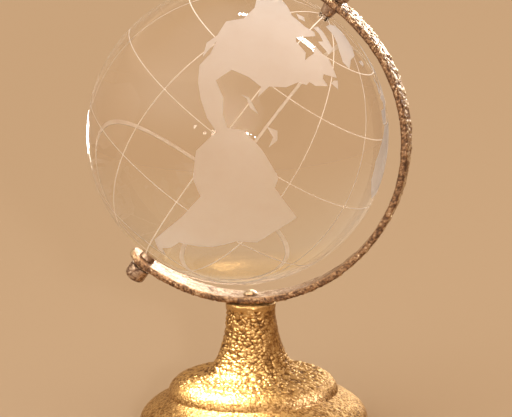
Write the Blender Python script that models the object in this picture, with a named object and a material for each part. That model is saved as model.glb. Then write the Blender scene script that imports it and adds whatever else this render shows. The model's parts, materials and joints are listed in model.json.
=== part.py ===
"""A solid crystal globe that turns on two pins in a cast, one-sided meridian arm on a round pedestal.

The frame is in metres with +Z up. The origin is the centre of the pedestal's flat underside, the arm lies in
the XZ plane, and the open side of the arm faces -X. Running and resting pieces keep a gap of 0.3 mm.
"""

import math

import bmesh
import bpy
from mathutils import Matrix, Vector

MM = 0.001
GAP = 0.3 * MM
MERGE_DISTANCE = 0.001 * MM
SMOOTH_BELOW = math.radians(35.0)
QUARTER_TURN = math.pi / 2.0
EDGE_STEPS = 2

# The ball and its tilted axis
BALL_RADIUS = 40.0 * MM
BALL_HEIGHT = 82.0 * MM
BALL_OFFSET = -2.5 * MM
AXIS_TILT = math.radians(36.9)
BALL_SEGMENTS = 60
BALL_ARC_STEPS = 28

# The two pins, whose profiles run outwards from the ball's centre
PIN_RADIUS = 1.2 * MM
PIN_SEGMENTS = 20
PIN_TIP_CHAMFER = 0.3 * MM
SOCKET_DEPTH = 4.0 * MM
COLLAR_INNER_RADIUS = 1.7 * MM
COLLAR_OUTER_RADIUS = 2.2 * MM
KNOB_RADIUS = 2.9 * MM
KNOB_LENGTH = 4.0 * MM
KNOB_ROUNDING = 1.5 * MM
KNOB_EDGE_ROUNDING = 0.3 * MM
KNOB_CROWN = 0.3 * MM
KNOB_STEPS = 5
NECK_RADIUS = 2.05 * MM
NECK_LENGTH = 0.8 * MM

# The arm, a flat strap bent round a centre beside the ball's own
ARM_RADIUS = 42.5 * MM
ARM_THICKNESS = 1.9 * MM
ARM_WIDTH = 9.0 * MM
ARM_CHAMFER = 0.5 * MM
ARM_CENTRE_FROM_BALL = (1.6 * MM, -0.95 * MM)
ARM_END_LIFT = 0.5 * MM
ARM_END_LIFT_POWER = 6
ARM_STATIONS = 58
ARM_END_STEPS = 5
ARM_END_TURN = math.radians(80.0)
HOLE_CUTTER_LENGTH = 12.0 * MM

# The pedestal: stem, dome and ring, cast in one. Its outline runs through these (radius, height) points
STEM_TOP_RADIUS = 6.6 * MM
STEM_WAIST_RADIUS = 6.1 * MM
STEM_FOOT = (12.5 * MM, 17.9 * MM)
DOME_FOOT = (22.8 * MM, 11.8 * MM)
RING_WIDEST = (30.7 * MM, 3.7 * MM)
UNDERSIDE = (29.5 * MM, 0.0)
EDGE_ROUNDING = 0.4 * MM
BASE_SEGMENTS = 48

# How far the outline's curves are pulled, as (outwards, upwards) from the point that they leave or meet
WAIST_DROP = 7.7 * MM
FLARE_PULL = (-2.7 * MM, 1.9 * MM)
DOME_TOP_PULL = (4.5 * MM, -0.5 * MM)
DOME_SIDE_PULL = (0.0, 4.8 * MM)
RING_TOP_PULL = (3.5 * MM, -1.8 * MM)
RING_SIDE_PULL = (0.0, 4.4 * MM)
RING_TUCK_PULL = (0.0, -1.9 * MM)
UNDERSIDE_PULL = (0.8 * MM, 0.5 * MM)
STEM_STEPS = 9
DOME_STEPS = 7
RING_STEPS = 7
TUCK_STEPS = 4

# The rivet that holds the arm on the stem
RIVET_SHANK_RADIUS = 1.0 * MM
RIVET_HEAD_RADIUS = 2.0 * MM
RIVET_HEAD_HEIGHT = 1.2 * MM
RIVET_DEPTH_IN_STEM = 4.0 * MM
RIVET_SEGMENTS = 20
RIVET_DOME_STEPS = 5

BALL_CENTRE = Vector((BALL_OFFSET, 0.0, BALL_HEIGHT))
ARM_CENTRE = BALL_CENTRE + Vector((ARM_CENTRE_FROM_BALL[0], 0.0, ARM_CENTRE_FROM_BALL[1]))
AXIS = Vector((math.sin(AXIS_TILT), 0.0, math.cos(AXIS_TILT)))
STEM_TOP = ARM_CENTRE.z - ARM_RADIUS - ARM_THICKNESS - GAP


def material(name, colour, roughness, metallic=0.0, transmission=0.0):
    """One Principled material with plain values."""
    made = bpy.data.materials.new(name)
    made.use_nodes = True
    shader = made.node_tree.nodes["Principled BSDF"]
    shader.inputs["Base Color"].default_value = (*colour, 1.0)
    shader.inputs["Roughness"].default_value = roughness
    shader.inputs["Metallic"].default_value = metallic
    shader.inputs["Transmission Weight"].default_value = transmission
    return made


def add_object(name, bm, surface, smooth_angle=None):
    """Turns a bmesh into a named object of the scene."""
    bmesh.ops.recalc_face_normals(bm, faces=bm.faces)
    mesh = bpy.data.meshes.new(name)
    bm.to_mesh(mesh)
    bm.free()
    mesh.materials.append(surface)
    if smooth_angle is not None:
        mesh.shade_smooth()
        mesh.set_sharp_from_angle(angle=smooth_angle)
    made = bpy.data.objects.new(name, mesh)
    bpy.context.collection.objects.link(made)
    return made


def arc(centre, radius, start, end, steps):
    """Points of a circular arc, both ends included; angles in radians from the first axis."""
    angles = (start + (end - start) * i / steps for i in range(steps + 1))
    return [(centre[0] + radius * math.cos(a), centre[1] + radius * math.sin(a)) for a in angles]


def pulled(point, pull):
    """A curve's handle, moved off the point that it belongs to."""
    return (point[0] + pull[0], point[1] + pull[1])


def curve(start, start_handle, end_handle, end, steps):
    """Points of a cubic Bezier curve without its first point."""
    corners = (start, start_handle, end_handle, end)
    points = []
    for i in range(1, steps + 1):
        t = i / steps
        u = 1.0 - t
        weights = (u**3, 3.0 * u**2 * t, 3.0 * u * t**2, t**3)
        points.append(tuple(sum(w * p[k] for w, p in zip(weights, corners)) for k in (0, 1)))
    return points


def turned(name, profile, segments, surface):
    """A closed solid turned round its own Z axis from (radius, height) points that start and end on it."""
    bm = bmesh.new()
    verts = [bm.verts.new((radius, 0.0, height)) for radius, height in profile]
    edges = [bm.edges.new(pair) for pair in zip(verts, verts[1:])]
    bmesh.ops.spin(
        bm,
        geom=verts + edges,
        axis=(0.0, 0.0, 1.0),
        cent=(0.0, 0.0, 0.0),
        angle=2.0 * math.pi,
        steps=segments,
        use_merge=True,
    )
    bmesh.ops.remove_doubles(bm, verts=bm.verts, dist=MERGE_DISTANCE)
    return add_object(name, bm, surface, SMOOTH_BELOW)


def on_axis(made, turned_over):
    """Places a turned piece on the ball's axis, with its local Z towards the upper or the lower pole."""
    made.location = BALL_CENTRE
    made.rotation_euler = (0.0, AXIS_TILT + (math.pi if turned_over else 0.0), 0.0)


def crystal_globe():
    """The ball, with a blind socket for a pin at each pole."""
    socket = PIN_RADIUS + GAP
    floor = BALL_RADIUS - SOCKET_DEPTH
    rim = math.acos(socket / BALL_RADIUS)
    profile = [(0.0, floor), (socket, floor)]
    profile += arc((0.0, 0.0), BALL_RADIUS, rim, -rim, BALL_ARC_STEPS)
    profile += [(socket, -floor), (0.0, -floor)]
    glass = material("clear_crystal", (0.98, 0.96, 0.94), 0.02, transmission=1.0)
    on_axis(turned("crystal_globe", profile, BALL_SEGMENTS, glass), turned_over=False)


def arm_radius(part):
    """The strap's inner radius; part runs from -1 at the lower pin through 0 to 1 at the upper pin."""
    return ARM_RADIUS + ARM_END_LIFT * min(abs(part), 1.0) ** ARM_END_LIFT_POWER


def pin_angle(direction):
    """(angle round the arm's centre, way from the ball's) where the axis meets the strap's inner face."""
    offset = BALL_CENTRE - ARM_CENTRE
    along = offset.dot(direction)
    radius = ARM_RADIUS + ARM_END_LIFT
    reach = math.sqrt(along * along - offset.length_squared + radius * radius) - along
    point = offset + reach * direction
    return math.atan2(point.z, point.x), reach


LOWER_ANGLE, LOWER_REACH = pin_angle(-AXIS)
UPPER_ANGLE, UPPER_REACH = pin_angle(AXIS)


def arm_stations():
    """(angle, half width) along the strap, whose round ends are centred on the pins."""
    half = ARM_WIDTH / 2.0
    swing = half / (ARM_RADIUS + ARM_END_LIFT)
    turns = [ARM_END_TURN * (1.0 - i / ARM_END_STEPS) for i in range(ARM_END_STEPS)]
    start = [(LOWER_ANGLE - swing * math.sin(a), half * math.cos(a)) for a in turns]
    end = [(UPPER_ANGLE + swing * math.sin(a), half * math.cos(a)) for a in reversed(turns)]
    step = (UPPER_ANGLE - LOWER_ANGLE) / ARM_STATIONS
    between = [(LOWER_ANGLE + step * i, half) for i in range(ARM_STATIONS + 1)]
    return start + between + end


def strap_section(half):
    """The strap's section as (height over the inner face, sideways), with chamfered corners."""
    cut = min(ARM_CHAMFER, half / 2.0)
    flat = half - cut
    top = ARM_THICKNESS
    low_side = [(0.0, -flat), (cut, -half), (top - cut, -half), (top, -flat)]
    return low_side + [(height, -side) for height, side in reversed(low_side)]


def meridian_arm(surface):
    """The strap with its three holes: one for each pin and one for the rivet."""
    bm = bmesh.new()
    middle = (LOWER_ANGLE + UPPER_ANGLE) / 2.0
    half_span = (UPPER_ANGLE - LOWER_ANGLE) / 2.0
    rings = []
    for angle, half in arm_stations():
        inner = arm_radius((angle - middle) / half_span)
        outwards = Vector((math.cos(angle), 0.0, math.sin(angle)))
        ring = []
        for height, side in strap_section(half):
            ring.append(bm.verts.new(ARM_CENTRE + (inner + height) * outwards + Vector((0.0, side, 0.0))))
        rings.append(ring)
    for ring, following in zip(rings, rings[1:]):
        for i in range(len(ring)):
            j = (i + 1) % len(ring)
            bm.faces.new((ring[i], ring[j], following[j], following[i]))
    bm.faces.new(rings[0])
    bm.faces.new(rings[-1])
    arm = add_object("meridian_arm", bm, surface, SMOOTH_BELOW)

    pin_hole = PIN_RADIUS + GAP
    rivet_hole = RIVET_SHANK_RADIUS + GAP
    cut_hole(arm, "upper_pin_hole", BALL_CENTRE + AXIS * UPPER_REACH, AXIS, pin_hole)
    cut_hole(arm, "lower_pin_hole", BALL_CENTRE - AXIS * LOWER_REACH, AXIS, pin_hole)
    cut_hole(arm, "rivet_hole", Vector((0.0, 0.0, STEM_TOP)), Vector((0.0, 0.0, 1.0)), rivet_hole)


def cut_hole(piece, name, centre, direction, radius):
    """Cuts a round hole through a piece, along a direction."""
    bm = bmesh.new()
    turn = direction.to_track_quat("Z", "Y").to_matrix().to_4x4()
    bmesh.ops.create_cone(
        bm,
        cap_ends=True,
        segments=PIN_SEGMENTS,
        radius1=radius,
        radius2=radius,
        depth=HOLE_CUTTER_LENGTH,
        matrix=Matrix.Translation(centre) @ turn,
    )
    cutter = add_object(name, bm, piece.data.materials[0])
    cutter.hide_render = True
    cutter.display_type = "WIRE"
    cut = piece.modifiers.new(name, "BOOLEAN")
    cut.operation = "DIFFERENCE"
    cut.solver = "EXACT"
    cut.object = cutter


def pin(name, reach, turned_over, surface):
    """A pin with its tip in the ball, a collar between ball and strap, and a round knob outside the strap."""
    tip = BALL_RADIUS - SOCKET_DEPTH + GAP
    collar_start = BALL_RADIUS + GAP
    collar_end = reach - GAP
    neck_start = reach + ARM_THICKNESS + GAP
    knob_start = neck_start + NECK_LENGTH
    knob_end = knob_start + KNOB_LENGTH
    edge = KNOB_EDGE_ROUNDING
    flat = KNOB_RADIUS - KNOB_ROUNDING
    profile = [(0.0, tip), (PIN_RADIUS - PIN_TIP_CHAMFER, tip), (PIN_RADIUS, tip + PIN_TIP_CHAMFER)]
    profile += [(PIN_RADIUS, collar_start), (COLLAR_INNER_RADIUS, collar_start)]
    profile += [(COLLAR_OUTER_RADIUS, collar_end), (PIN_RADIUS, collar_end)]
    profile += [(PIN_RADIUS, neck_start), (NECK_RADIUS, neck_start), (NECK_RADIUS, knob_start)]
    profile += arc((KNOB_RADIUS - edge, knob_start + edge), edge, -QUARTER_TURN, 0.0, EDGE_STEPS)
    profile += arc((flat, knob_end - KNOB_ROUNDING), KNOB_ROUNDING, 0.0, QUARTER_TURN, KNOB_STEPS)
    profile += [(0.0, knob_end + KNOB_CROWN)]
    on_axis(turned(name, profile, PIN_SEGMENTS, surface), turned_over)


def pedestal_base(surface):
    """Stem, dome and ring in one, flat below, with a bore for the rivet in the stem."""
    bore = RIVET_SHANK_RADIUS + GAP
    bore_floor = STEM_TOP - RIVET_DEPTH_IN_STEM - GAP
    edge_centre = (STEM_TOP_RADIUS - EDGE_ROUNDING, STEM_TOP - EDGE_ROUNDING)
    profile = [(0.0, bore_floor), (bore, bore_floor), (bore, STEM_TOP)]
    profile += arc(edge_centre, EDGE_ROUNDING, QUARTER_TURN, 0.0, EDGE_STEPS)
    waist = (STEM_WAIST_RADIUS, STEM_TOP - WAIST_DROP)
    profile += curve(profile[-1], waist, pulled(STEM_FOOT, FLARE_PULL), STEM_FOOT, STEM_STEPS)
    dome_top, dome_side = pulled(STEM_FOOT, DOME_TOP_PULL), pulled(DOME_FOOT, DOME_SIDE_PULL)
    profile += curve(STEM_FOOT, dome_top, dome_side, DOME_FOOT, DOME_STEPS)
    ring_top, ring_side = pulled(DOME_FOOT, RING_TOP_PULL), pulled(RING_WIDEST, RING_SIDE_PULL)
    profile += curve(DOME_FOOT, ring_top, ring_side, RING_WIDEST, RING_STEPS)
    tuck, floor_edge = pulled(RING_WIDEST, RING_TUCK_PULL), pulled(UNDERSIDE, UNDERSIDE_PULL)
    profile += curve(RING_WIDEST, tuck, floor_edge, UNDERSIDE, TUCK_STEPS)
    profile += [(0.0, 0.0)]
    turned("pedestal_base", profile, BASE_SEGMENTS, surface)


def arm_rivet(surface):
    """A low round head on the strap's inner face, with a shank down into the stem."""
    furthest = RIVET_HEAD_RADIUS + abs(ARM_CENTRE.x)
    seat = ARM_CENTRE.z - math.sqrt(ARM_RADIUS**2 - furthest**2) + GAP
    dome_radius = (RIVET_HEAD_RADIUS**2 + RIVET_HEAD_HEIGHT**2) / (2.0 * RIVET_HEAD_HEIGHT)
    dome_centre = (0.0, seat + RIVET_HEAD_HEIGHT - dome_radius)
    edge = math.asin((seat - dome_centre[1]) / dome_radius)
    low = STEM_TOP - RIVET_DEPTH_IN_STEM
    profile = [(0.0, low), (RIVET_SHANK_RADIUS, low), (RIVET_SHANK_RADIUS, seat)]
    profile += arc(dome_centre, dome_radius, edge, QUARTER_TURN, RIVET_DOME_STEPS)
    turned("arm_rivet", profile, RIVET_SEGMENTS, surface)


def main():
    for old in list(bpy.data.objects):
        bpy.data.objects.remove(old)
    gold = material("cast_antique_gold", (0.62, 0.43, 0.22), 0.4, metallic=1.0)
    strap_gold = material("strap_gold", (0.66, 0.50, 0.32), 0.38, metallic=1.0)
    copper = material("browned_copper", (0.36, 0.2, 0.11), 0.45, metallic=1.0)
    crystal_globe()
    meridian_arm(strap_gold)
    pin("upper_pin", UPPER_REACH, False, copper)
    pin("lower_pin", LOWER_REACH, True, copper)
    pedestal_base(gold)
    arm_rivet(strap_gold)


main()
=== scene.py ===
import json
import math

import bmesh
import bpy
from mathutils import Matrix, Vector, noise
from mathutils.bvhtree import BVHTree


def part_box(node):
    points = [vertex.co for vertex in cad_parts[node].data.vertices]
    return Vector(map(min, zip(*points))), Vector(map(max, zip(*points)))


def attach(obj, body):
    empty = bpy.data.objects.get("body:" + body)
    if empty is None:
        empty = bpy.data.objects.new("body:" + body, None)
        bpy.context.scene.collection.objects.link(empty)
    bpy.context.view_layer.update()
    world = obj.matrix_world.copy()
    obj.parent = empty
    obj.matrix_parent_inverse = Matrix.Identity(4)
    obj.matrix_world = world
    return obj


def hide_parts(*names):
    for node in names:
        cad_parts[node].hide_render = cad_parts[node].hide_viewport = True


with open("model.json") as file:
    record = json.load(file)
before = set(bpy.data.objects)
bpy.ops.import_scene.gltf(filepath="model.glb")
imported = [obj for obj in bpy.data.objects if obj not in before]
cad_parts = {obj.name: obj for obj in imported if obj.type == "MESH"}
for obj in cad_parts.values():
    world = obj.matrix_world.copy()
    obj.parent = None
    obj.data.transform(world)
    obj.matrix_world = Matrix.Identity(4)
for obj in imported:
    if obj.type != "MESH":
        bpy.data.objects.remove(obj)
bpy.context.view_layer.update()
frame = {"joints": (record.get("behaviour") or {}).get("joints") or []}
print("frame loaded")

mm = 0.001
mergeDistance = 0.001 * mm
spinJoint = frame["joints"][0]
ballCentre = Vector(spinJoint["pos_m"])
ballAxis = Vector(spinJoint["axis"]).normalized()
ballLow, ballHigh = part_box("crystal_globe")
ballRadius = (ballHigh.y - ballLow.y) / 2


# helpers for meshes
def meshPiece(name, bm, materials, body, nodes):
    mesh = bpy.data.meshes.new(name)
    bm.to_mesh(mesh)
    bm.free()
    piece = bpy.data.objects.new(name, mesh)
    bpy.context.scene.collection.objects.link(piece)
    for surface in materials:
        mesh.materials.append(surface)
    mesh.shade_smooth()
    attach(piece, body)
    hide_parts(*nodes)
    print(name, len(mesh.polygons), "faces")
    return piece


def faceOutwards(bm):
    bmesh.ops.recalc_face_normals(bm, faces=bm.faces)
    if bm.calc_volume(signed=True) < 0:
        bmesh.ops.reverse_faces(bm, faces=bm.faces)


def spinProfile(points, steps):
    # a closed solid turned round Z from (radius, height) points that start and end on it
    bm = bmesh.new()
    verts = [bm.verts.new((radius, 0, height)) for radius, height in points]
    edges = [bm.edges.new(pair) for pair in zip(verts, verts[1:])]
    bmesh.ops.spin(bm, geom=verts + edges, axis=(0, 0, 1), cent=(0, 0, 0),
                   angle=2 * math.pi, steps=steps, use_merge=True)
    bmesh.ops.remove_doubles(bm, verts=bm.verts, dist=mergeDistance)
    faceOutwards(bm)
    return bm


def arcPoints(centre, radius, start, end, steps):
    angles = [start + (end - start) * i / steps for i in range(steps + 1)]
    return [(centre[0] + radius * math.cos(a), centre[1] + radius * math.sin(a)) for a in angles]


def bezierPoints(start, startHandle, endHandle, end, steps):
    points = []
    for i in range(1, steps + 1):
        t = i / steps
        weights = ((1 - t) ** 3, 3 * (1 - t) ** 2 * t, 3 * (1 - t) * t ** 2, t ** 3)
        corners = (start, startHandle, endHandle, end)
        points.append(tuple(sum(w * p[k] for w, p in zip(weights, corners)) for k in (0, 1)))
    return points


def roughen(bm, relief):
    # moves each vertex along its normal, and keeps how grainy the metal is there and how far its colour is
    # darkened there, which is mostly painted shade
    shadeAndTone = bm.verts.layers.float.new("shadeAndTone")
    grainy = bm.verts.layers.float.new("grainy")
    bm.normal_update()
    moves = [(v, v.normal.copy(), relief(v.co, v.normal)) for v in bm.verts]
    for v, normal, (lift, depth, grain) in moves:
        v.co += normal * lift
        v[shadeAndTone] = max(0.0, min(1.0, depth))
        v[grainy] = grain


# helpers for materials
def newMaterial(name):
    made = bpy.data.materials.new(name)
    made.use_nodes = True
    nodes = made.node_tree.nodes
    return made, nodes, made.node_tree.links, nodes["Principled BSDF"]


def objectNoise(nodes, links, scale, detail=4.0, roughness=0.55):
    place = nodes.new("ShaderNodeTexCoord")
    grain = nodes.new("ShaderNodeTexNoise")
    grain.inputs["Scale"].default_value = scale
    grain.inputs["Detail"].default_value = detail
    grain.inputs["Roughness"].default_value = roughness
    links.new(place.outputs["Object"], grain.inputs["Vector"])
    return grain.outputs["Fac"]


def colourRamp(nodes, links, factor, stops):
    ramp = nodes.new("ShaderNodeValToRGB")
    elements = ramp.color_ramp.elements
    while len(elements) < len(stops):
        elements.new(0.5)
    for element, (place, colour) in zip(elements, stops):
        element.position = place
        element.color = (*colour, 1)
    links.new(factor, ramp.inputs["Fac"])
    return ramp.outputs["Color"]


def mapRange(nodes, links, value, fromLow, fromHigh, toLow, toHigh):
    ranged = nodes.new("ShaderNodeMapRange")
    limits = {"From Min": fromLow, "From Max": fromHigh, "To Min": toLow, "To Max": toHigh}
    for name, number in limits.items():
        ranged.inputs[name].default_value = number
    links.new(value, ranged.inputs["Value"])
    return ranged.outputs["Result"]


def bumped(nodes, links, shader, height, strength, distance):
    bump = nodes.new("ShaderNodeBump")
    bump.inputs["Strength"].default_value = strength
    bump.inputs["Distance"].default_value = distance
    links.new(height, bump.inputs["Height"])
    links.new(bump.outputs["Normal"], shader.inputs["Normal"])
    return bump


def meshAttribute(nodes, name):
    read = nodes.new("ShaderNodeAttribute")
    read.attribute_name = name
    return read.outputs["Fac"]


# the camera comes first: its height, turn and roll round the ball
camera = {
    "azimuth": 11.0,
    "elevation": 10.0,
    "roll": -1.3,
    "distance": 0.88,
    "lens": 233.5,
    "aimRight": 4.8 * mm,
    "aimDown": 19.7 * mm,
}


def makeCamera():
    azimuth, elevation, roll = (math.radians(camera[k]) for k in ("azimuth", "elevation", "roll"))
    right = Vector((math.cos(azimuth), math.sin(azimuth), 0))
    back = Vector((math.sin(azimuth) * math.cos(elevation),
                   -math.cos(azimuth) * math.cos(elevation), math.sin(elevation)))
    up = back.cross(right)
    tiltedRight = right * math.cos(roll) + up * math.sin(roll)
    tiltedUp = up * math.cos(roll) - right * math.sin(roll)
    place = ballCentre + back * camera["distance"]
    aim = ballCentre + tiltedRight * camera["aimRight"] - tiltedUp * camera["aimDown"]
    backwards = (place - aim).normalized()
    sideways = tiltedUp.cross(backwards).normalized()
    upwards = backwards.cross(sideways)
    turn = Matrix((sideways, upwards, backwards)).transposed().to_4x4()
    data = bpy.data.cameras.new("viewCamera")
    data.lens = camera["lens"]
    data.clip_start = 0.05
    data.clip_end = 20
    made = bpy.data.objects.new("viewCamera", data)
    made.matrix_world = Matrix.Translation(place) @ turn
    bpy.context.scene.collection.objects.link(made)
    bpy.context.scene.camera = made


makeCamera()


# the crystal ball
crystal = {
    "segments": 180,
    "arcSteps": 90,
    "socketRadius": 1.5 * mm,
    "socketDepth": 4.0 * mm,
    "etchDepth": 0.07 * mm,
    "lineWidth": 0.29 * mm,
    "lineSpacing": 30,
    "clearOfPin": 3.3 * mm,
    "cutTolerance": 0.0002 * mm,
    "depthTolerance": 0.01 * mm,
    "onSphereWithin": 0.5 * mm,
    "index": 1.5,
}

# where the engraved lines lie on the ball, in degrees round its axis from the front and up from its equator
meridians = {-180: -98, -150: -67, -120: -31, -90: -1, -60: 30, -30: 60, 0: 90, 30: 120, 60: 150, 90: 180,
             120: 210, 150: 240, 180: 262}
parallels = {-90: -90, -60: -52, -30: -21, 0: 9.6, 30: 36.5, 60: 61.4, 90: 90}

# the land, as the (longitude, latitude) of its capes and bays on an ordinary map, with a broad isthmus
lands = {
    "americas": [
        (-168, 66), (-156, 71), (-141, 70), (-128, 70), (-115, 68), (-96, 68), (-85, 69), (-82, 67),
        (-87, 64), (-94, 59), (-92, 57), (-82, 55), (-80, 51), (-79, 54), (-77, 57), (-78, 62), (-70, 60),
        (-65, 60), (-56, 52), (-66, 50), (-65, 48), (-60, 46), (-66, 43), (-70, 43), (-70, 41), (-74, 40),
        (-76, 35), (-81, 31), (-80, 25), (-83, 29), (-90, 29), (-97, 27), (-96, 20), (-88, 17), (-82, 12),
        (-77, 9), (-72, 12), (-62, 10), (-51, 4), (-50, 0), (-35, -6), (-39, -15), (-41, -22), (-48, -26),
        (-53, -34), (-58, -38), (-65, -42), (-66, -48), (-69, -52), (-65, -55), (-70, -55), (-75, -50),
        (-73, -40), (-71, -30), (-70, -18), (-76, -14), (-81, -5), (-80, 1), (-79, 5), (-85, 7),
        (-92, 11), (-99, 15), (-106, 20), (-109, 26), (-114, 31), (-109, 23), (-115, 28), (-117, 33),
        (-124, 40), (-124, 47), (-131, 55), (-144, 60), (-151, 59), (-164, 55), (-158, 59), (-165, 62)],
    "greenland": [
        (-73, 78), (-60, 82), (-32, 83), (-18, 80), (-22, 72), (-27, 68), (-38, 65), (-43, 60), (-50, 62),
        (-53, 67), (-54, 71), (-58, 75)],
    "baffinIsland": [
        (-65, 62), (-78, 65), (-73, 67), (-80, 70), (-89, 71), (-85, 74), (-76, 73), (-61, 66)],
    "newfoundland": [(-59, 48), (-53, 47), (-55, 51), (-58, 50)],
    "cuba": [(-85, 22), (-82, 23), (-74, 20), (-78, 20), (-82, 22)],
    "antilles": [(-68, 18), (-64, 19), (-61, 16), (-61, 12), (-63, 16)],
    "victoriaIsland": [(-117, 71), (-108, 73), (-101, 71), (-108, 69.5)],
    "iceland": [(-24, 65.5), (-15, 66.3), (-14, 64.7), (-19, 63.5)],
    "britain": [(-5, 50), (1, 51), (1.5, 53), (-2, 56), (-4, 58.5), (-6, 57), (-3, 54.5), (-5, 52)],
    "africa": [
        (-6, 36), (0, 36), (10, 37), (11, 34), (19, 30), (20, 33), (25, 32), (31, 31), (34, 28), (37, 21),
        (39, 15), (43, 12), (51, 12), (48, 5), (40, -3), (39, -7), (41, -15), (35, -20), (35, -24),
        (32, -29), (27, -34), (20, -35), (18, -32), (15, -27), (12, -17), (14, -11), (12, -6), (9, -1),
        (10, 4), (2, 6), (-8, 4), (-13, 8), (-17, 13), (-17, 21), (-13, 27), (-9, 32)],
    "madagascar": [(49.5, -12.5), (50, -16), (47, -25), (44, -25), (44, -20)],
    "eurasia": [
        (-9, 37), (-9, 43), (-2, 43.5), (-1, 46), (-5, 48.5), (2, 51), (8, 54), (8, 57), (10.5, 57.5),
        (11, 54.5), (19, 54.5), (21, 57), (24, 57), (23, 59), (30, 60), (22, 60.5), (21, 63), (25, 65.5),
        (21, 65.5), (17, 62), (18, 60), (16, 56.5), (13, 55.5), (11, 59), (6, 58.5), (5, 62), (12, 66),
        (18, 70), (28, 71), (41, 67), (33, 66.5), (38, 64), (44, 66), (44, 68.5), (60, 69), (68, 68.5),
        (69, 73), (73, 71), (78, 72), (87, 75), (104, 77.5), (113, 74), (127, 73), (140, 72.5),
        (160, 69.5), (178, 69), (190, 66), (178, 62.5), (170, 60), (163, 59), (163, 56), (157, 51),
        (156, 57), (163, 62), (155, 59), (142, 59), (135, 54.5), (141, 53), (140, 48), (135, 43.5),
        (130, 42.5), (128, 39), (129, 35.5), (126, 34.5), (126, 38), (121, 39.5), (118, 39), (122, 37),
        (119, 35), (122, 31), (120, 26), (116, 23), (108, 21.5), (106, 18), (109, 12), (105, 9),
        (100, 13.5), (100, 8), (104, 1.5), (98, 8), (98, 16), (94, 16), (91, 22.5), (87, 21), (82, 16.5),
        (80, 13), (77.5, 8), (74, 15), (72.5, 21), (67, 25), (57, 27), (48, 30), (51, 26), (56, 26),
        (60, 22.5), (55, 17.5), (45, 13), (43, 14), (39, 21), (35, 28), (35, 31.5), (36, 36.5), (27, 37),
        (26, 40), (30, 41), (41, 41), (38, 46), (31, 46.5), (28, 43), (28, 41.5), (23.5, 40.5), (23, 37),
        (19, 42), (13.5, 45.5), (12.5, 44), (18, 40.5), (16, 38.5), (12, 42), (8.5, 44.5), (3, 43),
        (-0.5, 39), (-2, 37), (-5.5, 36)],
    "sumatra": [(95, 5.5), (100, 2.5), (106, -3), (105, -6), (101, -3)],
    "java": [(105.5, -6.3), (114, -7.3), (114, -8.8), (106, -7.8)],
    "borneo": [(109, 1.5), (113, 3.5), (117, 7), (119, 5), (117.5, 1), (116, -4), (111, -3)],
    "celebes": [(119.5, -5.5), (120.5, 0.5), (125, 1.5), (121, -1), (123, -4.5)],
    "philippines": [(120, 18), (122, 18), (124, 13), (126, 7), (122, 8), (120, 14)],
    "japan": [
        (130, 32), (131, 34), (136, 36), (140, 40), (141, 45), (145, 43.5), (142, 42), (141, 36),
        (136, 34)],
    "newGuinea": [(131, -1), (138, -2), (147, -6), (150.5, -10.5), (143, -9), (138, -8), (133, -4)],
    "australia": [
        (114, -22), (122, -18), (129, -15), (131, -11.5), (136.5, -12), (135.5, -15), (140.5, -17.5),
        (142.5, -11), (146, -19), (153, -25.5), (153, -31), (150, -37.5), (144, -38.5), (138, -35),
        (131, -31.5), (124, -33.5), (115, -34.5)],
    "tasmania": [(145, -41), (148, -41), (147, -43.5)],
    "northIsland": [(173, -35), (178, -38), (175, -41.5), (174, -39)],
    "southIsland": [(172.5, -40.7), (174, -41.7), (168, -46.7), (166.5, -46)],
}


def alongScale(value, scale):
    # reads an uneven scale, such as the engraver's lines, between its two nearest marks
    marks = sorted(scale)
    for low, high in zip(marks, marks[1:]):
        if value <= high:
            break
    return scale[low] + (scale[high] - scale[low]) * (value - low) / (high - low)


def mapDirection(longitude, latitude):
    # the direction from the ball's centre, in the ball's own axes: -Y is its front and +Z its axis
    turn = math.radians(alongScale(longitude, meridians))
    rise = math.radians(alongScale(latitude, parallels))
    return Vector((math.sin(turn) * math.cos(rise), -math.cos(turn) * math.cos(rise), math.sin(rise)))


# these lands are etched further west and south than they lie, more so from one limit down to the other
drawnOff = {
    "lands": ("americas", "newfoundland", "cuba", "antilles"),
    "northernLimit": 50,
    "southernLimit": 10,
    "west": 14,
    "south": 4,
}


def drawnPlace(land, longitude, latitude):
    if land not in drawnOff["lands"]:
        return longitude, latitude
    depth = drawnOff["northernLimit"] - latitude
    share = max(0.0, min(1.0, depth / (drawnOff["northernLimit"] - drawnOff["southernLimit"])))
    return longitude - drawnOff["west"] * share, latitude - drawnOff["south"] * share


class Coast:
    # one land's coast, flattened on the plane that touches the ball at its middle
    def __init__(self, outline):
        self.corners = [mapDirection(*point) for point in outline]
        self.middle = sum(self.corners, Vector()).normalized()
        self.across = self.middle.orthogonal().normalized()
        self.along = self.middle.cross(self.across)
        self.flat = [self.flatten(corner) for corner in self.corners]
        self.reach = min(self.middle.dot(corner) for corner in self.corners)

    def flatten(self, direction):
        depth = direction.dot(self.middle)
        return direction.dot(self.across) / depth, direction.dot(self.along) / depth

    def holds(self, direction):
        if direction.dot(self.middle) < self.reach:
            return False
        x, y = self.flatten(direction)
        inside = False
        for (x1, y1), (x2, y2) in zip(self.flat, self.flat[1:] + self.flat[:1]):
            if (y1 > y) != (y2 > y) and x < x1 + (y - y1) * (x2 - x1) / (y2 - y1):
                inside = not inside
        return inside


def withEdges(faces):
    # these faces once each, with their edges and corners, in an order that never changes
    faces = list(dict.fromkeys(faces))
    edges = list(dict.fromkeys(e for f in faces for e in f.edges))
    return list(dict.fromkeys(v for f in faces for v in f.verts)) + edges + faces


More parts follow.
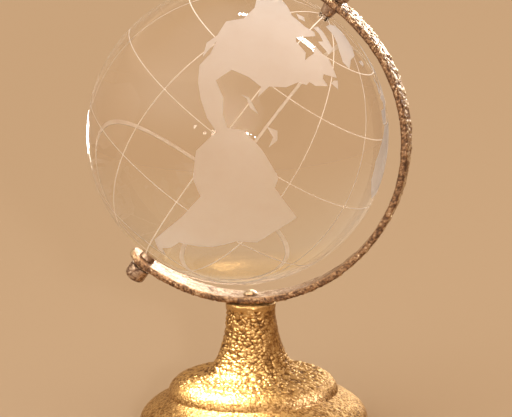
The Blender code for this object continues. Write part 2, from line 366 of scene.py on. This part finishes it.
def cutNear(bm, start, end):
    # cuts the faces near one stretch of coast along the plane through it and the ball's centre
    margin = 1.5 * math.pi * ballRadius / crystal["arcSteps"]
    bm.faces.ensure_lookup_table()
    bm.faces.index_update()
    tree = BVHTree.FromBMesh(bm)
    middle = (start + end) / 2 * ballRadius
    reach = (end - start).length / 2 * ballRadius + margin
    near = withEdges(bm.faces[hit[2]] for hit in tree.find_nearest_range(middle, reach))
    bmesh.ops.bisect_plane(bm, geom=near, dist=crystal["cutTolerance"], plane_co=(0, 0, 0),
                           plane_no=start.cross(end).normalized())


def lineOffset(direction, meridian):
    # how far a direction lies from one meridian's plane, or None on its far side
    turn = math.radians(alongScale(meridian, meridians))
    forward = Vector((math.sin(turn), -math.cos(turn), 0))
    if direction.dot(forward) <= 0:
        return None
    return direction.dot(Vector((math.cos(turn), math.sin(turn), 0))) * ballRadius


def cutLines(bm):
    edge = crystal["lineWidth"] / 2
    for meridian in range(-180, 180, crystal["lineSpacing"]):
        turn = math.radians(alongScale(meridian, meridians))
        forward = Vector((math.sin(turn), -math.cos(turn), 0))
        sideways = Vector((math.cos(turn), math.sin(turn), 0))
        for offset in (-edge, edge):
            half = withEdges(f for f in bm.faces if f.calc_center_median().dot(forward) > 0)
            bmesh.ops.bisect_plane(bm, geom=half, dist=crystal["cutTolerance"],
                                   plane_co=sideways * offset, plane_no=sideways)
    for parallel in range(-60, 90, crystal["lineSpacing"]):
        rise = math.radians(alongScale(parallel, parallels))
        for offset in (-edge, edge):
            height = ballRadius * math.sin(rise + offset / ballRadius)
            everything = bm.verts[:] + bm.edges[:] + bm.faces[:]
            bmesh.ops.bisect_plane(bm, geom=everything, dist=crystal["cutTolerance"],
                                   plane_co=(0, 0, height), plane_no=(0, 0, 1))


def onLine(direction):
    half = crystal["lineWidth"] / 2
    if math.hypot(direction.x, direction.y) * ballRadius < crystal["clearOfPin"]:
        return False
    rise = math.asin(max(-1, min(1, direction.z)))
    for parallel in range(-60, 90, crystal["lineSpacing"]):
        if abs(rise - math.radians(alongScale(parallel, parallels))) * ballRadius < half:
            return True
    for meridian in range(-180, 180, crystal["lineSpacing"]):
        offset = lineOffset(direction, meridian)
        if offset is not None and abs(offset) < half:
            return True
    return False


def crystalBall(clear, frosted, engraved):
    socket, floor = crystal["socketRadius"], ballRadius - crystal["socketDepth"]
    rim = math.acos(socket / ballRadius)
    profile = [(0, floor), (socket, floor)]
    profile += arcPoints((0, 0), ballRadius, rim, -rim, crystal["arcSteps"])
    profile += [(socket, -floor), (0, -floor)]
    bm = spinProfile(profile, crystal["segments"])
    coasts = []
    for land, outline in lands.items():
        coasts.append(Coast([drawnPlace(land, *place) for place in outline]))
    for coast in coasts:
        for start, end in zip(coast.corners, coast.corners[1:] + coast.corners[:1]):
            cutNear(bm, start, end)
    print("coasts cut", len(bm.faces), "faces")
    cutLines(bm)
    print("lines cut", len(bm.faces), "faces")

    skin = ballRadius - 0.5 * crystal["etchDepth"]
    etched = []
    for face in bm.faces:
        if min(v.co.length for v in face.verts) < skin:
            continue
        direction = face.calc_center_median().normalized()
        if any(coast.holds(direction) for coast in coasts):
            face.material_index = 1
            etched.append(face)
        elif onLine(direction):
            face.material_index = 2
            etched.append(face)
    sunk = bmesh.ops.extrude_face_region(bm, geom=etched)["geom"]
    for v in sunk:
        if isinstance(v, bmesh.types.BMVert):
            v.co *= 1 - crystal["etchDepth"] / ballRadius
    bmesh.ops.delete(bm, geom=[f for f in etched if f.is_valid], context="FACES_ONLY")
    sunkRadius = ballRadius - crystal["etchDepth"]
    for face in bm.faces:
        if any(abs(v.co.length - sunkRadius) < crystal["depthTolerance"] for v in face.verts):
            face.material_index = max(face.material_index, 1)
    print("etched", len(etched), "faces")

    # the ball's own -Y stays the front, so the tilt is only a turn about Y
    turn = Matrix.Rotation(math.atan2(ballAxis.x, ballAxis.z), 3, "Y")
    bmesh.ops.transform(bm, matrix=Matrix.Translation(ballCentre) @ turn.to_4x4(), verts=bm.verts)
    piece = meshPiece("crystalBall", bm, [clear, frosted, engraved], "globe", ["crystal_globe"])
    trueNormals(piece)
    return piece


def trueNormals(piece):
    # the ball's faces shine as the true sphere, and the small walls round the etching stay flat
    mesh = piece.data
    normals = []
    for face in mesh.polygons:
        offset = face.center - ballCentre
        nearSkin = offset.length > ballRadius - crystal["onSphereWithin"]
        onSphere = nearSkin and face.normal.dot(offset.normalized()) > 0.9
        for index in face.vertices:
            place = mesh.vertices[index].co - ballCentre
            normals.append(place.normalized() if onSphere else face.normal)
    mesh.normals_split_custom_set(normals)


def clearCrystal():
    made, _, _, shader = newMaterial("clearCrystal")
    shader.inputs["Base Color"].default_value = (0.95, 0.90, 0.85, 1)
    shader.inputs["Roughness"].default_value = 0.0
    shader.inputs["IOR"].default_value = crystal["index"]
    shader.inputs["Transmission Weight"].default_value = 1.0
    return made


def groundCrystal(name, shade, bright, roughness, transmission):
    # crystal ground to a satin white, a little uneven under the grit
    made, nodes, links, shader = newMaterial(name)
    shader.inputs["Roughness"].default_value = roughness
    shader.inputs["IOR"].default_value = crystal["index"]
    shader.inputs["Transmission Weight"].default_value = transmission
    drift = objectNoise(nodes, links, 220, 3)
    grain = objectNoise(nodes, links, 3500, 3)
    links.new(colourRamp(nodes, links, drift, [(0.3, shade), (0.7, bright)]), shader.inputs["Base Color"])
    bumped(nodes, links, shader, grain, 0.3, 0.03 * mm)
    return made


frosted = groundCrystal("frostedCrystal", (0.93, 0.87, 0.84), (0.98, 0.94, 0.92), 0.55, 0.84)
engraved = groundCrystal("engravedCrystal", (0.93, 0.81, 0.68), (0.97, 0.87, 0.76), 0.7, 0.42)
ball = crystalBall(clearCrystal(), frosted, engraved)


# the cast metal's relief, which the strap, the pedestal and the small parts share
# unseeded, noise_vector would differ from run to run
noise.seed_set(1)


def lumps(place, size, seed=0.0):
    # smooth noise from -1 to 1, with bumps about this size across
    return noise.noise((place + Vector((seed, 0.7 * seed, -seed)) * mm) / size)


def fade(value, start, end):
    share = max(0.0, min(1.0, (value - start) / (end - start)))
    return share * share * (3 - 2 * share)


def crinkle(place, size, seed=0.0, flattened=1.0):
    # 0 in the creases to 1 on the crowns: bent pebbles, whose creases close up here and there
    drawn = Vector((place.x, place.y, place.z * flattened)) + Vector((seed, -seed, seed)) * mm
    bent = drawn + noise.noise_vector(drawn / (1.3 * size)) * (0.55 * size)
    nearest, second = noise.voronoi(bent / size)[0][:2]
    crease = min(1.0, 2.0 * (second - nearest))
    closed = 0.6 * fade(noise.noise(drawn / (1.5 * size)), 0.05, 0.5)
    return 0.6 * (crease + (1 - crease) * closed) + 0.4 * (1 - nearest)


# the meridian strap, made flat with round ends, then bent round the ball
strap = {
    "innerRadius": 42.5 * mm,
    "thickness": 1.9 * mm,
    "width": 9.0 * mm,
    "centreFromBall": (1.6 * mm, -0.95 * mm),
    "endLift": 0.5 * mm,
    "endLiftPower": 6,
    "pinHole": 1.5 * mm,
    "cell": 0.30 * mm,
    "layers": 8,
    "edgeRounding": 0.55 * mm,
}
strapCentre = ballCentre + Vector((strap["centreFromBall"][0], 0, strap["centreFromBall"][1]))


def pinPlace(direction):
    # the ball's axis meets the strap's inner face at this angle round its centre, this far from the ball's
    offset = ballCentre - strapCentre
    along = offset.dot(direction)
    radius = strap["innerRadius"] + strap["endLift"]
    reach = math.sqrt(along ** 2 - offset.length_squared + radius ** 2) - along
    point = offset + reach * direction
    return math.atan2(point.z, point.x), reach


lowerAngle, lowerReach = pinPlace(-ballAxis)
upperAngle, upperReach = pinPlace(ballAxis)


def flatStrap(length, half, straight):
    # a grid whose end squares are drawn in to half discs, with a round hole for each pin
    bm = bmesh.new()
    bmesh.ops.create_grid(bm, x_segments=round(length / strap["cell"]),
                          y_segments=round(strap["width"] / strap["cell"]), size=1)
    for v in bm.verts:
        x, y = v.co.x * length / 2, v.co.y
        beyond = max(0.0, (abs(x) - straight) / half)
        if beyond > 0:
            x = math.copysign(straight + half * beyond * math.sqrt(1 - y * y / 2), x)
            y = y * math.sqrt(1 - beyond * beyond / 2)
        v.co = (x, half * y, 0)
    for pin in (Vector((-straight, 0, 0)), Vector((straight, 0, 0))):
        inside = [f for f in bm.faces if (f.calc_center_median() - pin).length < strap["pinHole"]]
        corners = dict.fromkeys(v for f in inside for v in f.verts)
        bmesh.ops.delete(bm, geom=inside, context="FACES")
        for v in corners:
            if v.is_valid:
                v.co = pin + (v.co - pin).normalized() * strap["pinHole"]
    return bm


def strapRelief(place, normal):
    # smooth wide faces, crinkled narrow sides painted brown as painted shade, and a broken line of pits
    # along the edges between them
    outwards = (place - strapCentre).normalized()
    side = fade(abs(normal.y), 0.4, 0.85)
    edge = 4 * side * (1 - side)
    outer, inner = max(0.0, normal.dot(outwards)), max(0.0, -normal.dot(outwards))
    rough = max(side, edge, 0.9 * outer, 0.3)
    folded = crinkle(place, 0.85 * mm, 5)
    hammered = crinkle(Vector((place.x, 0.5 * place.y, place.z)), 0.95 * mm, 11)
    folded += (hammered - folded) * outer
    pitted = max(edge, 0.35 * side, 0.3 * inner, outer * (0.5 + 0.5 * fade(-place.y, -1 * mm, 3.5 * mm)))
    pit = pitted * max(0.0, lumps(place, 0.85 * mm, 17) - 0.08)
    lift = 0.12 * lumps(place, 4.5 * mm) + 0.10 * lumps(place, 1.9 * mm, 3)
    lift += (0.22 * rough + 0.22 * outer) * (folded - 0.6) + 0.04 * lumps(place, 0.55 * mm, 9) - 0.45 * pit
    # painted shade darkens the colour in the creases, the pits and the narrow sides; the inner face is also
    # made darker
    depth = (0.6 * rough + 0.35 * outer) * fade(0.6 - folded, 0, 0.45)
    depth += 2.5 * pit + 0.34 * side + 0.42 * inner + 0.05
    return lift * mm, depth, 0.3 + 0.5 * rough + 0.2 * inner


def meridianStrap(gold):
    half = strap["width"] / 2
    endRadius = strap["innerRadius"] + strap["endLift"]
    length = (upperAngle - lowerAngle) * endRadius + 2 * half
    straight = length / 2 - half
    thickness, rounding = strap["thickness"], strap["edgeRounding"]
    bm = flatStrap(length, half, straight)
    sheet = bm.verts[:] + bm.edges[:] + bm.faces[:]
    raised = bmesh.ops.extrude_face_region(bm, geom=sheet, use_keep_orig=True)
    bmesh.ops.translate(bm, vec=(0, 0, thickness),
                        verts=[v for v in raised["geom"] if isinstance(v, bmesh.types.BMVert)])
    walls = [e for e in bm.edges if abs(e.verts[0].co.z - e.verts[1].co.z) > thickness / 2]
    bmesh.ops.subdivide_edges(bm, edges=walls, cuts=strap["layers"] - 1, use_grid_fill=True)

    middle = (lowerAngle + upperAngle) / 2
    halfSpan = (upperAngle - lowerAngle) / 2
    halfTurn = halfSpan + half / endRadius
    for v in bm.verts:
        x, y = v.co.x, v.co.y
        height = thickness * (1 - math.cos(math.pi * v.co.z / thickness)) / 2
        beyond = max(0.0, abs(x) - straight)
        if math.hypot(abs(x) - straight, y) > 1.1 * strap["pinHole"]:
            # the edges are rounded by drawing each layer in, most at the two faces
            near = min(height, thickness - height, rounding)
            share = 1 - (rounding - math.sqrt(rounding ** 2 - (rounding - near) ** 2)) / half
            x = math.copysign(abs(x) - beyond * (1 - share), x)
            y *= share
        angle = middle + 2 * x / length * halfTurn
        lifted = strap["endLift"] * min(1.0, abs(angle - middle) / halfSpan) ** strap["endLiftPower"]
        outwards = Vector((math.cos(angle), 0, math.sin(angle)))
        v.co = strapCentre + outwards * (strap["innerRadius"] + lifted + height) + Vector((0, y, 0))
    faceOutwards(bm)
    roughen(bm, strapRelief)
    return meshPiece("meridianStrap", bm, [gold], "stand", ["meridian_arm"])


# the pins, with a collar under the strap and a round knob outside it
pinShape = {
    "radius": 1.2 * mm,
    "tipDepth": 3.7 * mm,
    "collarAtBall": 1.7 * mm,
    "collarAtStrap": 2.2 * mm,
    "neckRadius": 2.05 * mm,
    "neckLength": 0.8 * mm,
    "knobRadius": 2.85 * mm,
    "knobLength": 4.0 * mm,
    "knobRounding": 1.5 * mm,
    "edge": 0.3 * mm,
    "edgeSteps": 4,
    "knobSteps": 10,
    "step": 0.22 * mm,
    "gap": 0.3 * mm,
    "collarBumps": 0.3,
    "segments": 72,
}


def pinRelief(place, bumpy):
    # pebbled on the knob, and nearly smooth on the collar
    folded = crinkle(place, 0.95 * mm, 21)
    grain = lumps(place, 0.5 * mm, 23)
    lift = bumpy * (0.12 * (folded - 0.6) + 0.03 * grain) + 0.06 * lumps(place, 2 * mm, 4)
    # painted shade darkens the colour in the knob's creases; the collar is darker all over
    depth = bumpy * fade(0.7 - folded, 0, 0.6) + 0.35 * (1 - bumpy) - 0.15 * grain
    return lift * mm, depth, 0.4 * bumpy + 0.1


def finely(points, step):
    # the same outline with a point at least every step, so that the relief has vertices to move
    made = [points[0]]
    for start, end in zip(points, points[1:]):
        count = max(1, math.ceil(math.dist(start, end) / step))
        made += [tuple(a + (b - a) * i / count for a, b in zip(start, end)) for i in range(1, count + 1)]
    return made


def pin(name, node, reach, direction, metal):
    s = pinShape
    tip = ballRadius - s["tipDepth"]
    collarStart, collarEnd = ballRadius + s["gap"], reach - s["gap"] / 3
    neckStart = reach + strap["thickness"] + s["gap"] / 3
    knobStart = neckStart + s["neckLength"]
    knobEnd = knobStart + s["knobLength"]
    edge = s["edge"]
    profile = [(0, tip), (s["radius"] - edge, tip), (s["radius"], tip + edge), (s["radius"], collarStart)]
    profile += [(s["collarAtBall"], collarStart), (s["collarAtStrap"], collarEnd), (s["radius"], collarEnd)]
    profile += [(s["radius"], neckStart), (s["neckRadius"], neckStart), (s["neckRadius"], knobStart)]
    profile += arcPoints((s["knobRadius"] - edge, knobStart + edge), edge, -math.pi / 2, 0,
                         s["edgeSteps"])
    rounding = s["knobRounding"]
    profile += arcPoints((s["knobRadius"] - rounding, knobEnd - rounding), rounding, 0, math.pi / 2,
                         s["knobSteps"])
    profile += [(0, knobEnd + edge)]
    bm = spinProfile(finely(profile, s["step"]), s["segments"])
    turn = direction.to_track_quat("Z", "Y").to_matrix().to_4x4()
    bmesh.ops.transform(bm, matrix=Matrix.Translation(ballCentre) @ turn, verts=bm.verts)

    def relief(place, normal):
        outwards = (place - ballCentre).dot(direction)
        if outwards <= collarStart:
            return 0, 0.5, 0.2
        return pinRelief(place, s["collarBumps"] if outwards < neckStart else 1)

    roughen(bm, relief)
    return meshPiece(name, bm, [metal], "stand", [node])


# the pedestal: stem, dome and ring in one casting
pedestal = {
    "stemTopRadius": 6.6 * mm,
    "waist": (6.1 * mm, -7.7 * mm),
    "stemFoot": (12.5 * mm, 17.9 * mm),
    "flarePull": (-3.2 * mm, 1.3 * mm),
    "domeTopPull": (4.3 * mm, -1.0 * mm),
    "domeFoot": (22.8 * mm, 11.8 * mm),
    "domeSidePull": (0, 4.8 * mm),
    "ringTopPull": (3.5 * mm, -1.8 * mm),
    "ringWidest": (30.7 * mm, 3.7 * mm),
    "ringSidePull": (0, 4.4 * mm),
    "tuckPull": (0, -1.9 * mm),
    "underside": (29.5 * mm, 0),
    "undersidePull": (0.8 * mm, 0.5 * mm),
    "edgeRounding": 0.4 * mm,
    "gapUnderStrap": 0.12 * mm,
    "segments": 300,
    "edgeSteps": 4,
    "flareSteps": 108,
    "domeSteps": 54,
    "ringSteps": 32,
    "tuckSteps": 8,
}


stemTop = strapCentre.z - strap["innerRadius"] - strap["thickness"] - pedestal["gapUnderStrap"]


def pulled(point, pull):
    return point[0] + pull[0], point[1] + pull[1]


def pedestalRelief(place, normal):
    # the stem is coarsely pebbled under its smooth lip, and the dome and the ring have a finer grain
    onStem = fade(place.z, 13 * mm, 18 * mm)
    standing = fade(place.z, 0.0, 1.2 * mm)
    lip = fade(place.z, stemTop - 1.9 * mm, stemTop - 1.2 * mm)
    # the stem's right side is smoother, and darker with painted shade
    wornAndShaded = fade(place.x, 3.5 * mm, 6.5 * mm) * fade(place.z, 21 * mm, 26 * mm)
    pebbles = crinkle(place, 1.35 * mm, 31, 1.5)
    fine = crinkle(place, 0.85 * mm, 37, 1.1)
    plainer = (1 - 0.75 * lip) * (1 - 0.6 * wornAndShaded)
    lift = onStem * (0.52 * plainer * (pebbles - 0.6) + 0.07 * lumps(place, 2.4 * mm, 7))
    lift += (1 - onStem) * 0.18 * (fine - 0.6) + 0.12 * lumps(place, 6 * mm, 2) + 0.12 * lip
    # painted shade darkens the colour in the stem's creases and on its right side, and in the creases of
    # the dome's and the ring's grain
    creased = 0.85 * onStem * plainer * fade(0.56 - pebbles, 0, 0.42) + 0.25 * wornAndShaded
    depth = creased + (1 - onStem) * (0.12 + 0.6 * fade(0.6 - fine, 0, 0.5))
    return lift * mm * standing, depth, 1 - 0.65 * onStem


def pedestalPiece(gold):
    s = pedestal
    edge = s["edgeRounding"]
    profile = [(0, stemTop), (s["stemTopRadius"] - edge, stemTop)]
    profile += arcPoints((s["stemTopRadius"] - edge, stemTop - edge), edge, math.pi / 2, 0,
                         s["edgeSteps"])[1:]
    waist = (s["waist"][0], stemTop + s["waist"][1])
    foot, dome, ring, under = s["stemFoot"], s["domeFoot"], s["ringWidest"], s["underside"]
    profile += bezierPoints(profile[-1], waist, pulled(foot, s["flarePull"]), foot, s["flareSteps"])
    for start, leave, arrive, end, steps in ((foot, "domeTopPull", "domeSidePull", dome, "domeSteps"),
                                             (dome, "ringTopPull", "ringSidePull", ring, "ringSteps"),
                                             (ring, "tuckPull", "undersidePull", under, "tuckSteps")):
        profile += bezierPoints(start, pulled(start, s[leave]), pulled(end, s[arrive]), end, s[steps])
    profile += [(0, 0)]
    bm = spinProfile(profile, s["segments"])
    # the wide dome and ring get twice the stem's segments
    level = [e for e in bm.edges if abs(e.verts[0].co.z - e.verts[1].co.z) < 0.001 * mm
             and e.calc_length() < 1 * mm and e.verts[0].co.z < foot[1] + 0.001 * mm]
    bmesh.ops.subdivide_edges(bm, edges=level, cuts=1, use_grid_fill=True)
    for v in bm.verts:
        # a new vertex in the middle of a chord goes out to the circle
        turns = math.atan2(v.co.y, v.co.x) * s["segments"] / (2 * math.pi)
        if abs(turns - round(turns)) > 0.25 and v.co.z <= foot[1] + 0.001 * mm:
            v.co.xy /= math.cos(math.pi / s["segments"])
    roughen(bm, pedestalRelief)
    return meshPiece("pedestal", bm, [gold], "stand", ["pedestal_base"])


# the rivet's low head on the strap's inner face
rivet = {
    "headRadius": 2.0 * mm,
    "headHeight": 1.2 * mm,
    "shankRadius": 1.0 * mm,
    "depth": 2.0 * mm,
    "step": 0.25 * mm,
    "arcSteps": 14,
    "segments": 64,
    "roughness": 0.6,
}


def rivetHead(gold):
    furthest = rivet["headRadius"] + abs(strapCentre.x)
    seat = strapCentre.z - math.sqrt(strap["innerRadius"] ** 2 - furthest ** 2)
    radius = (rivet["headRadius"] ** 2 + rivet["headHeight"] ** 2) / (2 * rivet["headHeight"])
    middle = seat + rivet["headHeight"] - radius
    edge = math.asin((seat - middle) / radius)
    shank, foot = rivet["shankRadius"], seat - rivet["depth"]
    profile = [(0, foot), (shank, foot), (shank, seat)]
    profile += arcPoints((0, middle), radius, edge, math.pi / 2, rivet["arcSteps"])
    bm = spinProfile(finely(profile, rivet["step"]), rivet["segments"])

    def relief(place, normal):
        return tuple(rivet["roughness"] * value for value in strapRelief(place, normal))

    roughen(bm, relief)
    return meshPiece("rivetHead", bm, [gold], "stand", ["arm_rivet"])


def castMetal(name, crown, middle, shadeAndTone, shine, dull, darkestMetallic):
    # crowns painted lighter as painted highlight and hollows painted darker and browner as painted shade,
    # the hollows rougher and less metallic, and a slow change of tone from place to place
    made, nodes, links, shader = newMaterial(name)
    grain = objectNoise(nodes, links, 1900, 3, 0.55)
    factor = meshAttribute(nodes, "shadeAndTone")
    speckle = mapRange(nodes, links, grain, 0.35, 0.65, 0, 1)
    for layer, share in ((objectNoise(nodes, links, 160, 3), 0.30), (speckle, 0.28)):
        added = nodes.new("ShaderNodeMath")
        added.operation = "MULTIPLY_ADD"
        links.new(layer, added.inputs[0])
        added.inputs[1].default_value = share
        links.new(factor, added.inputs[2])
        factor = added.outputs[0]
    factor = mapRange(nodes, links, factor, 0.39, 1.39, 0, 1)
    # painted highlight and painted shade: the colour runs from the crown colour through the middle one to
    # the darkest one as the shade value rises
    links.new(colourRamp(nodes, links, factor, [(0.05, crown), (0.4, middle), (0.95, shadeAndTone)]),
              shader.inputs["Base Color"])
    links.new(mapRange(nodes, links, factor, 0, 1, shine, dull), shader.inputs["Roughness"])
    links.new(mapRange(nodes, links, factor, 0.5, 1, 0.92, darkestMetallic), shader.inputs["Metallic"])
    bump = bumped(nodes, links, shader, grain, 1, 0.3 * mm)
    links.new(meshAttribute(nodes, "grainy"), bump.inputs["Strength"])
    return made


strapGold = castMetal("strapGold", (0.74, 0.62, 0.46), (0.37, 0.22, 0.125), (0.09, 0.046, 0.03),
                      0.28, 0.6, 0.7)
castGold = castMetal("castGold", (0.58, 0.37, 0.155), (0.32, 0.17, 0.058), (0.055, 0.02, 0.008),
                     0.34, 0.6, 0.85)
brownedCopper = castMetal("brownedCopper", (0.50, 0.38, 0.29), (0.32, 0.21, 0.15), (0.09, 0.045, 0.03),
                          0.35, 0.6, 0.7)
strapPiece = meridianStrap(strapGold)
upperPin = pin("upperPin", "upper_pin", upperReach, ballAxis, brownedCopper)
lowerPin = pin("lowerPin", "lower_pin", lowerReach, -ballAxis, brownedCopper)
pedestalShown = pedestalPiece(castGold)
rivetShown = rivetHead(strapGold)


# floor, light and background
studio = {
    "floor": (0.62, 0.49, 0.367, 1),
    "horizon": (0.595, 0.376, 0.205),
    "halfway": (0.62, 0.42, 0.245),
    "golden": (0.74, 0.48, 0.23),
    "overhead": (1.2, 1.05, 0.85),
    "glow": (1.6, 1.45, 1.25),
    "glowFrom": (-0.60, -0.55, 0.58),
    "glowSharpness": 4,
    "glowFoot": 0.4,
    "gilded": (1.0, 0.93, 0.74),
}


def makeStage():
    mesh = bpy.data.meshes.new("floor")
    bm = bmesh.new()
    bmesh.ops.create_grid(bm, x_segments=1, y_segments=1, size=6)
    bm.to_mesh(mesh)
    bm.free()
    floor = bpy.data.objects.new("floor", mesh)
    bpy.context.scene.collection.objects.link(floor)
    made, _, _, shader = newMaterial("floorPaint")
    shader.inputs["Base Color"].default_value = studio["floor"]
    shader.inputs["Roughness"].default_value = 0.8
    shader.inputs["Specular IOR Level"].default_value = 0
    mesh.materials.append(made)


def makeSky():
    # the floor's tone at the horizon, a soft white overhead, and a wide soft glow at the front left
    world = bpy.data.worlds.new("studio")
    bpy.context.scene.world = world
    world.use_nodes = True
    nodes, links = world.node_tree.nodes, world.node_tree.links
    place = nodes.new("ShaderNodeTexCoord")
    split = nodes.new("ShaderNodeSeparateXYZ")
    links.new(place.outputs["Generated"], split.inputs["Vector"])
    height = mapRange(nodes, links, split.outputs["Z"], 0, 1, 0, 1)
    colour = colourRamp(nodes, links, height, [(0.0, studio["horizon"]), (0.5, studio["halfway"]),
                                               (0.75, studio["golden"]), (1.0, studio["overhead"])])
    towards = nodes.new("ShaderNodeVectorMath")
    towards.operation = "DOT_PRODUCT"
    links.new(place.outputs["Generated"], towards.inputs[0])
    towards.inputs[1].default_value = Vector(studio["glowFrom"]).normalized()
    facing = mapRange(nodes, links, towards.outputs["Value"], 0, 1, 0, 1)
    sharpened = nodes.new("ShaderNodeMath")
    sharpened.operation = "POWER"
    links.new(facing, sharpened.inputs[0])
    sharpened.inputs[1].default_value = studio["glowSharpness"]
    # the glow fades out towards the horizon, where the wall keeps the floor's tone
    raised = nodes.new("ShaderNodeMath")
    raised.operation = "MULTIPLY"
    links.new(sharpened.outputs[0], raised.inputs[0])
    links.new(mapRange(nodes, links, split.outputs["Z"], 0, studio["glowFoot"], 0, 1), raised.inputs[1])
    lit = nodes.new("ShaderNodeMix")
    lit.data_type = "RGBA"
    sockets = {socket.identifier: socket for socket in lit.inputs}
    links.new(raised.outputs[0], sockets["Factor_Float"])
    links.new(colour, sockets["A_Color"])
    sockets["B_Color"].default_value = (*studio["glow"], 1)
    links.new(lit.outputs[2], nodes["Background"].inputs["Color"])


def cameraWay(right, up, towards):
    # the camera's sideways axis, and the direction that lies so far right, up and towards the camera
    azimuth, elevation = math.radians(camera["azimuth"]), math.radians(camera["elevation"])
    sideways = Vector((math.cos(azimuth), math.sin(azimuth), 0))
    back = Vector((math.sin(azimuth) * math.cos(elevation),
                   -math.cos(azimuth) * math.cos(elevation), math.sin(elevation)))
    return sideways, (sideways * right + back.cross(sideways) * up + back * towards).normalized()


def lightOnly(light, pieces):
    # these pieces alone are lit, and no other piece shades them, as clear crystal hardly would
    lit = bpy.data.collections.new(light.name + "Lights")
    for piece in pieces:
        lit.objects.link(piece)
    light.light_linking.receiver_collection = lit
    light.light_linking.blocker_collection = lit


def softLight(name, right, up, towards, distance, width, height, power, slant=0.0, colour=(1, 0.96, 0.9),
              only=()):
    # a soft panel that faces the ball, placed by how far right, up and towards the camera it stands
    sideways, direction = cameraWay(right, up, towards)
    data = bpy.data.lights.new(name, "AREA")
    data.shape = "RECTANGLE"
    data.size, data.size_y = width, height
    data.energy = power
    data.color = colour
    made = bpy.data.objects.new(name, data)
    across = (sideways - direction * sideways.dot(direction)).normalized()
    over = direction.cross(across)
    turned = Matrix.Rotation(math.radians(slant), 3, direction)
    basis = Matrix((turned @ across, turned @ over, direction)).transposed().to_4x4()
    made.matrix_world = Matrix.Translation(ballCentre + direction * distance) @ basis
    made.visible_camera = False
    if only:
        lightOnly(made, only)
    bpy.context.scene.collection.objects.link(made)
    return made


def spotLight(name, target, right, up, towards, distance, width, power, colour, only):
    # a narrow spot with a soft edge, like the light that the ball gathers on the metal under it
    direction = cameraWay(right, up, towards)[1]
    data = bpy.data.lights.new(name, "SPOT")
    data.spot_size = 2 * math.atan(width / 2 / distance)
    data.spot_blend = 1
    data.shadow_soft_size = 4 * mm
    data.energy = power
    data.color = colour
    made = bpy.data.objects.new(name, data)
    turn = direction.to_track_quat("Z", "Y").to_matrix().to_4x4()
    made.matrix_world = Matrix.Translation(target + direction * distance) @ turn
    lightOnly(made, only)
    bpy.context.scene.collection.objects.link(made)


bpy.context.scene.view_settings.view_transform = "Standard"
makeStage()
makeSky()
strapParts = [strapPiece, upperPin, lowerPin, rivetShown]
metals = strapParts + [pedestalShown]
strip = softLight("ceilingStrip", 0.62, 0.78, -0.09, 1.1, 0.40, 0.10, 4, only=[ball])
panel = softLight("ceilingPanel", 0.085, 0.975, -0.19, 1.1, 0.13, 0.06, 1.5, slant=-12, only=[ball])
window = softLight("windowLeft", -0.33, 0.007, -0.944, 0.42, 0.10, 0.03, 0.14, only=[ball])
for light in (strip, panel, window):
    light.visible_transmission = False
landLight = softLight("landLight", 0.2, 0.97, 0.12, 0.9, 0.3, 0.3, 9, colour=(0.97, 0.92, 0.96),
                      only=[ball])
sideLight = softLight("sideLight", 0.95, 0.0, -0.30, 0.9, 0.2, 0.2, 5, only=[ball])
tipLight = softLight("tipLight", -0.62, -0.78, 0.0, 0.9, 0.3, 0.3, 4, colour=(1, 0.95, 0.93),
                     only=[ball])
for light in (landLight, sideLight, tipLight):
    light.visible_glossy = light.visible_transmission = False
softLight("keyOnMetal", -0.68, 0.50, 0.50, 0.9, 0.30, 0.22, 3.5, colour=studio["gilded"], only=metals)
softLight("aboveOnMetal", 0.0, 0.82, 0.52, 0.9, 0.60, 0.20, 3.5, colour=studio["gilded"], only=metals)
softLight("aboveOnStrap", 0.0, 0.82, 0.52, 0.9, 0.60, 0.20, 2.5, colour=studio["gilded"], only=strapParts)
spotLight("gatheredOnDome", Vector((-4, -16, 14.5)) * mm, -0.42, 0.82, 0.0, 0.9, 0.026, 230,
          studio["gilded"], metals)
spotLight("coolOnDome", Vector((18, -12, 13)) * mm, 0.86, 0.32, 0.34, 0.9, 0.018, 50,
          (0.8, 0.84, 1.0), metals)
softLight("rightOnMetal", 0.86, 0.32, 0.34, 0.9, 0.15, 0.15, 0.3, colour=(0.84, 0.87, 1.0), only=metals)
softLight("backRightOnStrap", 0.36, 0.40, -0.84, 0.9, 0.40, 0.40, 5, only=strapParts)
softLight("backRightOnPedestal", 0.44, 0.40, -0.80, 0.9, 0.25, 0.25, 2, colour=studio["gilded"],
          only=[pedestalShown])
softLight("backOnStrap", 0.12, 0.30, -0.95, 0.9, 0.30, 0.10, 1.0, colour=studio["gilded"], only=strapParts)
smallLamps = ((0.105, 0.0, 0.046, 2.6), (0.16, -0.01, 0.014, 0.1), (0.205, -0.04, 0.014, 0.1))
for right, up, size, power in smallLamps:
    softLight("smallLamp", right, up, 0.97, 1.0, size, size, power)
print("studio lit")
